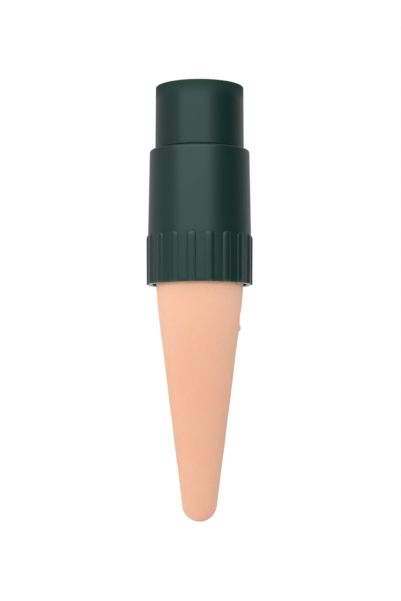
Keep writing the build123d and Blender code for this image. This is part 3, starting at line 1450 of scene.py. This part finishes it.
@dataclass
class BottleSleeve(Piece):
    """The neck with the bottle's socket, its snap groove and flange, and the tube below."""

    title: str = "neck_sleeve"
    node: str = "bottle_sleeve"
    body: Body = Body.SLEEVE
    finish: Finish = GreenPlastic(title="moulded_green_neck", ior=1.41)
    washer_side_gap: float = 0.35
    thread_setback: float = 0.28
    thread_depth: float = 1.25
    pitch: float = 3.18
    thread_turns: float = 2.1
    thread_start: float = 1.2
    root_width: float = 1.8
    crest_width: float = 0.9
    vent_slots: int = 4
    vent_width: float = 3.0
    vent_fade: float = 4.0
    neck_wall: float = 2.0
    neck_draft: float = 0.14
    rim_rounding: float = 0.5
    mouth_depth: float = 6.0
    mouth_chamfer: float = 0.6
    tube_step: float = 0.35
    tube_wall: float = 1.5
    flange_bite: float = 0.6
    groove_clearance: float = 0.2
    flange_thickness: float = 1.9
    shoulder_thickness: float = 1.8
    shoulder_clearance: float = 0.1
    seam_gap: float = 0.4
    foot_setback: float = 0.3
    foot_thickness: float = 1.6
    web_thickness: float = 1.6
    water_hole: float = 6.0
    edge_rounding: float = 0.15
    calm_foot: float = 2.0
    calm_rim: float = 3.0
    waves: tuple[Wave, ...] = (Wave(0.012, 12, 9.4), Wave(0.005, 5, 2.8))
    row_step: float = 1.1
    columns: Columns = Columns(288)

    @property
    def socket(self) -> float:
        """Radius of the socket's wall behind the thread."""
        return REACH["bottle_washer"].radius + self.washer_side_gap

    @property
    def neck_foot(self) -> float:
        """Height of the seam between the neck and the grip's shoulder."""
        return REACH["grip_shell"].top + self.seam_gap

    def outline(self) -> list[Vector]:
        """Draws the cross section without the bottle's thread.

        Returns:
            Points along the outline.
        """
        edge = self.edge_rounding
        bottom, top = self.span.bottom, self.span.top
        mouth = self.socket + self.thread_setback
        rim = mouth + self.neck_wall
        bore = self.socket - self.tube_step
        tube = bore + self.tube_wall
        flange = self.span.radius
        groove = flange - self.flange_bite - self.groove_clearance
        foot = flange - self.foot_setback
        foot_top = bottom + self.foot_thickness
        flange_top = REACH["grip_shell"].top - self.shoulder_thickness - self.shoulder_clearance
        flange_bottom = flange_top - self.flange_thickness
        mouth_floor = top - self.mouth_depth
        web_top = REACH["bottle_washer"].bottom
        web_bottom = web_top - self.web_thickness
        corners = [
            (bore, bottom, edge),
            (foot, bottom, edge),
            (foot, foot_top, edge),
            (tube, foot_top, edge),
            (tube, flange_bottom, edge),
            (flange, flange_bottom, edge),
            (flange, flange_top, edge),
            (groove, flange_top, edge / 2),
            (groove, self.neck_foot, edge / 2),
            (rim + self.neck_draft, self.neck_foot, edge),
            (rim, top, self.rim_rounding),
            (mouth + self.mouth_chamfer, top, edge),
            (mouth, top - self.mouth_chamfer, edge),
            (mouth, mouth_floor, edge / 2),
            (self.socket, mouth_floor, edge / 2),
            (self.socket, web_top, edge),
            (self.water_hole, web_top, edge),
            (self.water_hole, web_bottom, edge),
            (bore, web_bottom, 2 * edge),
        ]
        return ringed(corners, self.row_step)

    def relief(self, place: Vector) -> float:
        """Slight unevenness of the neck's outside, where the plastic shrank in its mould.

        Args:
            place: A vertex.

        Returns:
            How far out it moves.
        """
        if math.hypot(place.x, place.y) < self.socket + self.neck_wall / 2:
            return 0.0
        held = smooth((place.z - self.neck_foot) / self.calm_foot)
        held *= smooth((self.span.top - self.rim_rounding - place.z) / self.calm_rim)
        return held * sum(wave.at(place) for wave in self.waves)

    def additions(self) -> list[Shape]:
        """Draws the bottle's thread, broken by vent slots as in a bottle's own cap.

        Returns:
            One closed mesh for each stretch between slots.
        """
        middle = REACH["bottle_washer"].top + self.thread_start + self.root_width / 2
        crest = self.socket - self.thread_depth
        widths = (self.root_width, self.crest_width)
        ridge = Ridge(self.socket, crest, *widths, self.pitch, middle, self.vent_fade)
        slot_half = math.degrees(math.asin(self.vent_width / 2 / self.socket))
        spacing = 360 / self.vent_slots
        end = 360 * self.thread_turns
        cuts = [spacing / 2 + spacing * index for index in range(int(end // spacing) + 1)]
        starts = [0.0] + [cut + slot_half for cut in cuts]
        stops = [min(cut - slot_half, end) for cut in cuts] + [end]
        stretches = [pair for pair in zip(starts, stops) if pair[1] - pair[0] > 2 * self.vent_fade]
        return [ridge.mesh(start, stop) for start, stop in stretches]


@dataclass
class ConeCollar(Piece):
    """The threaded ring that is cemented over the cone's spigot."""

    title: str = "collar_threaded"
    node: str = "cone_collar"
    body: Body = Body.CONE
    finish: Finish = GreenPlastic()
    lip_bore: float = 11.3
    edge_rounding: float = 0.3
    lip_rounding: float = 0.1
    row_step: float = 1.5
    columns: Columns = Columns(216)

    @property
    def wall(self) -> float:
        """Outside radius between the ridges of the screw."""
        return self.span.radius - UNION.depth

    def outline(self) -> list[Vector]:
        """Draws the cross section without the screw.

        Returns:
            Points along the outline.
        """
        bottom, top, edge = self.span.bottom, self.span.top, self.edge_rounding
        cement = REACH["collar_cement"]
        corners = [
            (cement.radius, bottom),
            (self.wall, bottom, edge),
            (self.wall, top, edge),
            (self.lip_bore, top, self.lip_rounding),
            (self.lip_bore, cement.top),
            (cement.radius, cement.top),
        ]
        return ringed(corners, self.row_step)

    def additions(self) -> list[Shape]:
        """The outer screw."""
        return UNION.meshes(self.wall, self.span.radius, UNION.collar_turns, self.span.top)


@dataclass
class SealRing(Piece):
    """A flat rubber ring with softened edges."""

    title: str
    node: str
    inner_radius: float
    body: Body = Body.SLEEVE
    finish: Finish = SealRubber()
    edge_rounding: float = 0.2
    row_step: float = 0.9
    columns: Columns = Columns(180)

    def outline(self) -> list[Vector]:
        """Draws the cross section.

        Returns:
            Points along the outline.
        """
        inner, outer, edge = self.inner_radius, self.span.radius, self.edge_rounding
        low = [(inner, self.span.bottom, edge), (outer, self.span.bottom, edge)]
        high = [(outer, self.span.top, edge), (inner, self.span.top, edge)]
        return ringed(low + high, self.row_step)


@dataclass
class CollarCement:
    """The ring of cement between the cone and its collar, which keeps its own shape."""

    node: str = "collar_cement"
    finish: Finish = Cement()

    def build(self) -> bpy.types.Object:
        """Dresses the cement.

        Returns:
            The dressed node.
        """
        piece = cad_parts[self.node]
        self.finish.put_on(piece)
        LOG.info("%s keeps its shape", self.node)
        return piece


@dataclass(frozen=True)
class SoftBox:
    """A flat studio lamp, aimed at the spike. Its lengths are metres and its angles degrees."""

    title: str
    reach: Reach
    azimuth: float
    elevation: float
    width: float
    height: float
    radiance: float
    distance: float = 0.9

    def build(self, target: Vector) -> None:
        """Hangs the lamp.

        Args:
            target: The point that it faces, in metres.
        """
        turn, lift = math.radians(self.azimuth), math.radians(self.elevation)
        away = Vector((math.sin(turn) * math.cos(lift), -math.cos(turn) * math.cos(lift), math.sin(lift)))
        data = bpy.data.lights.new(self.title, "AREA")
        data.shape = "RECTANGLE"
        data.size = self.width
        data.size_y = self.height
        data.energy = self.radiance * math.pi * self.width * self.height
        lamp = bpy.data.objects.new(self.title, data)
        lamp.location = target + away * self.distance
        lamp.rotation_euler = (-away).to_track_quat("-Z", "Y").to_euler()
        lamp.visible_camera = False
        lamp.visible_diffuse = self.reach is Reach.MATT
        lamp.visible_glossy = self.reach is Reach.GLOSSY
        bpy.context.scene.collection.objects.link(lamp)


@dataclass
class Studio:
    """Camera, white sweep, floor and lamps. Its lengths are metres and its angles degrees."""

    focal_pixels: float = 1600.0
    picture_height: int = 601
    sensor: float = 36.0
    camera_place: tuple[float, float, float] = (0.00033, -0.587, 0.03784)
    camera_pitch: float = 4.18
    camera_clip: tuple[float, float] = (0.01, 50.0)
    floor_drop: float = 0.14
    floor_size: float = 3.0
    floor_grey: float = 0.86
    floor_glow: float = 0.65
    walls: tuple[tuple[float, float], ...] = (
        (-180.0, 1.0),
        (-165.0, 0.45),
        (-135.0, 0.55),
        (-90.0, 0.55),
        (-60.0, 0.75),
        (-48.0, 0.4),
        (24.0, 0.4),
        (36.0, 0.65),
        (52.0, 0.1),
        (88.0, 0.1),
        (112.0, 0.42),
        (145.0, 0.65),
        (160.0, 0.35),
        (170.0, 1.0),
        (180.0, 1.0),
    )
    ceiling: tuple[float, float] = (1.3, 0.3)
    ceiling_fall: tuple[float, float] = (-0.2, 0.3)
    ceiling_edge: tuple[float, float] = (0.55, 0.75)
    zenith: float = 0.25
    zenith_edge: tuple[float, float] = (0.86, 0.97)
    lamps: tuple[SoftBox, ...] = (
        SoftBox("key", Reach.GLOSSY, -13.0, 31.0, 1.45, 0.7, 2.1),
        SoftBox("wash", Reach.MATT, -10.5, 10.5, 1.5, 0.38, 2.93),
        SoftBox("rear", Reach.MATT, 180.0, 5.0, 2.1, 0.5, 1.3),
    )

    def camera(self) -> None:
        """Places the camera where the photograph was taken."""
        data = bpy.data.cameras.new("camera")
        data.sensor_width = self.sensor
        data.lens = self.focal_pixels * self.sensor / self.picture_height
        data.clip_start, data.clip_end = self.camera_clip
        camera = bpy.data.objects.new("camera", data)
        camera.location = self.camera_place
        camera.rotation_euler = (math.radians(90 + self.camera_pitch), 0, 0)
        bpy.context.scene.collection.objects.link(camera)
        bpy.context.scene.camera = camera

    def paper(self) -> bpy.types.Material:
        """Pale paper that glows to the camera, in mirrors and through glass, and is clear from below.

        Returns:
            The material.
        """
        material = bpy.data.materials.new("floor_paper")
        material.use_nodes = True
        graph = Graph(material.node_tree)
        matt = graph.add("ShaderNodeBsdfDiffuse", {"Color": grey(self.floor_grey)})
        path = graph.add("ShaderNodeLightPath").outputs
        mirrored = graph.math("MAXIMUM", path["Is Glossy Ray"], path["Is Transmission Ray"])
        seen = graph.math("MAXIMUM", path["Is Camera Ray"], mirrored)
        level = graph.math("MULTIPLY", seen, self.floor_glow)
        glow = graph.add("ShaderNodeEmission", {"Color": grey(1), "Strength": level})
        both = graph.add("ShaderNodeAddShader", {0: matt.outputs[0], 1: glow.outputs[0]})
        below = graph.add("ShaderNodeNewGeometry").outputs["Backfacing"]
        clear = graph.add("ShaderNodeBsdfTransparent")
        sided = graph.add("ShaderNodeMixShader", {0: below, 1: both.outputs[0], 2: clear.outputs[0]})
        graph.add("ShaderNodeOutputMaterial", {"Surface": sided.outputs[0]})
        return material

    def floor(self) -> None:
        """Lays the pale floor well below the tip, so that only its shadow would show."""
        half, low = self.floor_size / 2, -self.floor_drop
        corners = [(-half, -half, low), (half, -half, low), (half, half, low), (-half, half, low)]
        mesh = bpy.data.meshes.new("floor")
        mesh.from_pydata(corners, [], [(0, 1, 2, 3)])
        mesh.materials.append(self.paper())
        floor = bpy.data.objects.new("floor", mesh)
        bpy.context.scene.collection.objects.link(floor)

    def room(self, graph: Graph) -> Output:
        """Light of the room from each side.

        Args:
            graph: The world's nodes.

        Returns:
            The level: walls by their azimuth, a ceiling that falls off behind, and a dim zenith.
        """
        way = graph.add("ShaderNodeTexCoord").outputs["Generated"]
        side, behind, up = graph.add("ShaderNodeSeparateXYZ", {0: way}).outputs
        azimuth = graph.math("ARCTAN2", side, graph.math("MULTIPLY", behind, -1.0))
        ramp = graph.add("ShaderNodeValToRGB", {0: graph.ranged(azimuth, -math.pi, math.pi)})
        stops = ramp.color_ramp.elements
        for index, (degrees, level) in enumerate(self.walls):
            share = (degrees + 180) / 360
            stop = stops[index] if index < len(stops) else stops.new(share)
            stop.position = share
            stop.color = grey(level)
        ceiling = graph.ranged(behind, *self.ceiling_fall, *self.ceiling)
        level = graph.mixed(graph.ranged(up, *self.ceiling_edge), ramp.outputs[0], ceiling)
        return graph.mixed(graph.ranged(up, *self.zenith_edge), level, grey(self.zenith))

    def world(self) -> None:
        """A white sweep behind the spike and a dimmer room round it, all white to the camera."""
        world = bpy.data.worlds.new("studio")
        world.use_nodes = True
        graph = Graph(world.node_tree)
        room = graph.add("ShaderNodeBackground", {"Color": grey(1), "Strength": self.room(graph)})
        white = graph.add("ShaderNodeBackground", {"Color": grey(1), "Strength": 1.0})
        seen = graph.add("ShaderNodeLightPath").outputs["Is Camera Ray"]
        both = graph.add("ShaderNodeMixShader", {0: seen, 1: room.outputs[0], 2: white.outputs[0]})
        graph.add("ShaderNodeOutputWorld", {"Surface": both.outputs[0]})
        bpy.context.scene.world = world

    def build(self) -> None:
        """Sets the studio up round the spike."""
        self.camera()
        self.floor()
        self.world()
        low, high = CAD_BOX
        for lamp in self.lamps:
            lamp.build((Vector(low) + Vector(high)) / 2)
        bpy.context.scene.view_settings.view_transform = "Standard"
        LOG.info("studio with %d lamps", len(self.lamps))


def main() -> None:
    """Builds every piece and reports it."""
    logging.basicConfig(level=logging.INFO, format="%(name)s %(message)s")
    pieces = [
        ClayCone(),
        CollarCement(),
        ConeCollar(),
        SealRing("gasket_ring", "cone_gasket", inner_radius=11.3),
        BottleSleeve(),
        SealRing("washer_ring", "bottle_washer", inner_radius=8.0),
        GripShell(),
    ]
    for piece in pieces:
        made = piece.build()
        LOG.info("made %s", made.name)
    Studio().build()


if __name__ == "__main__":
    main()
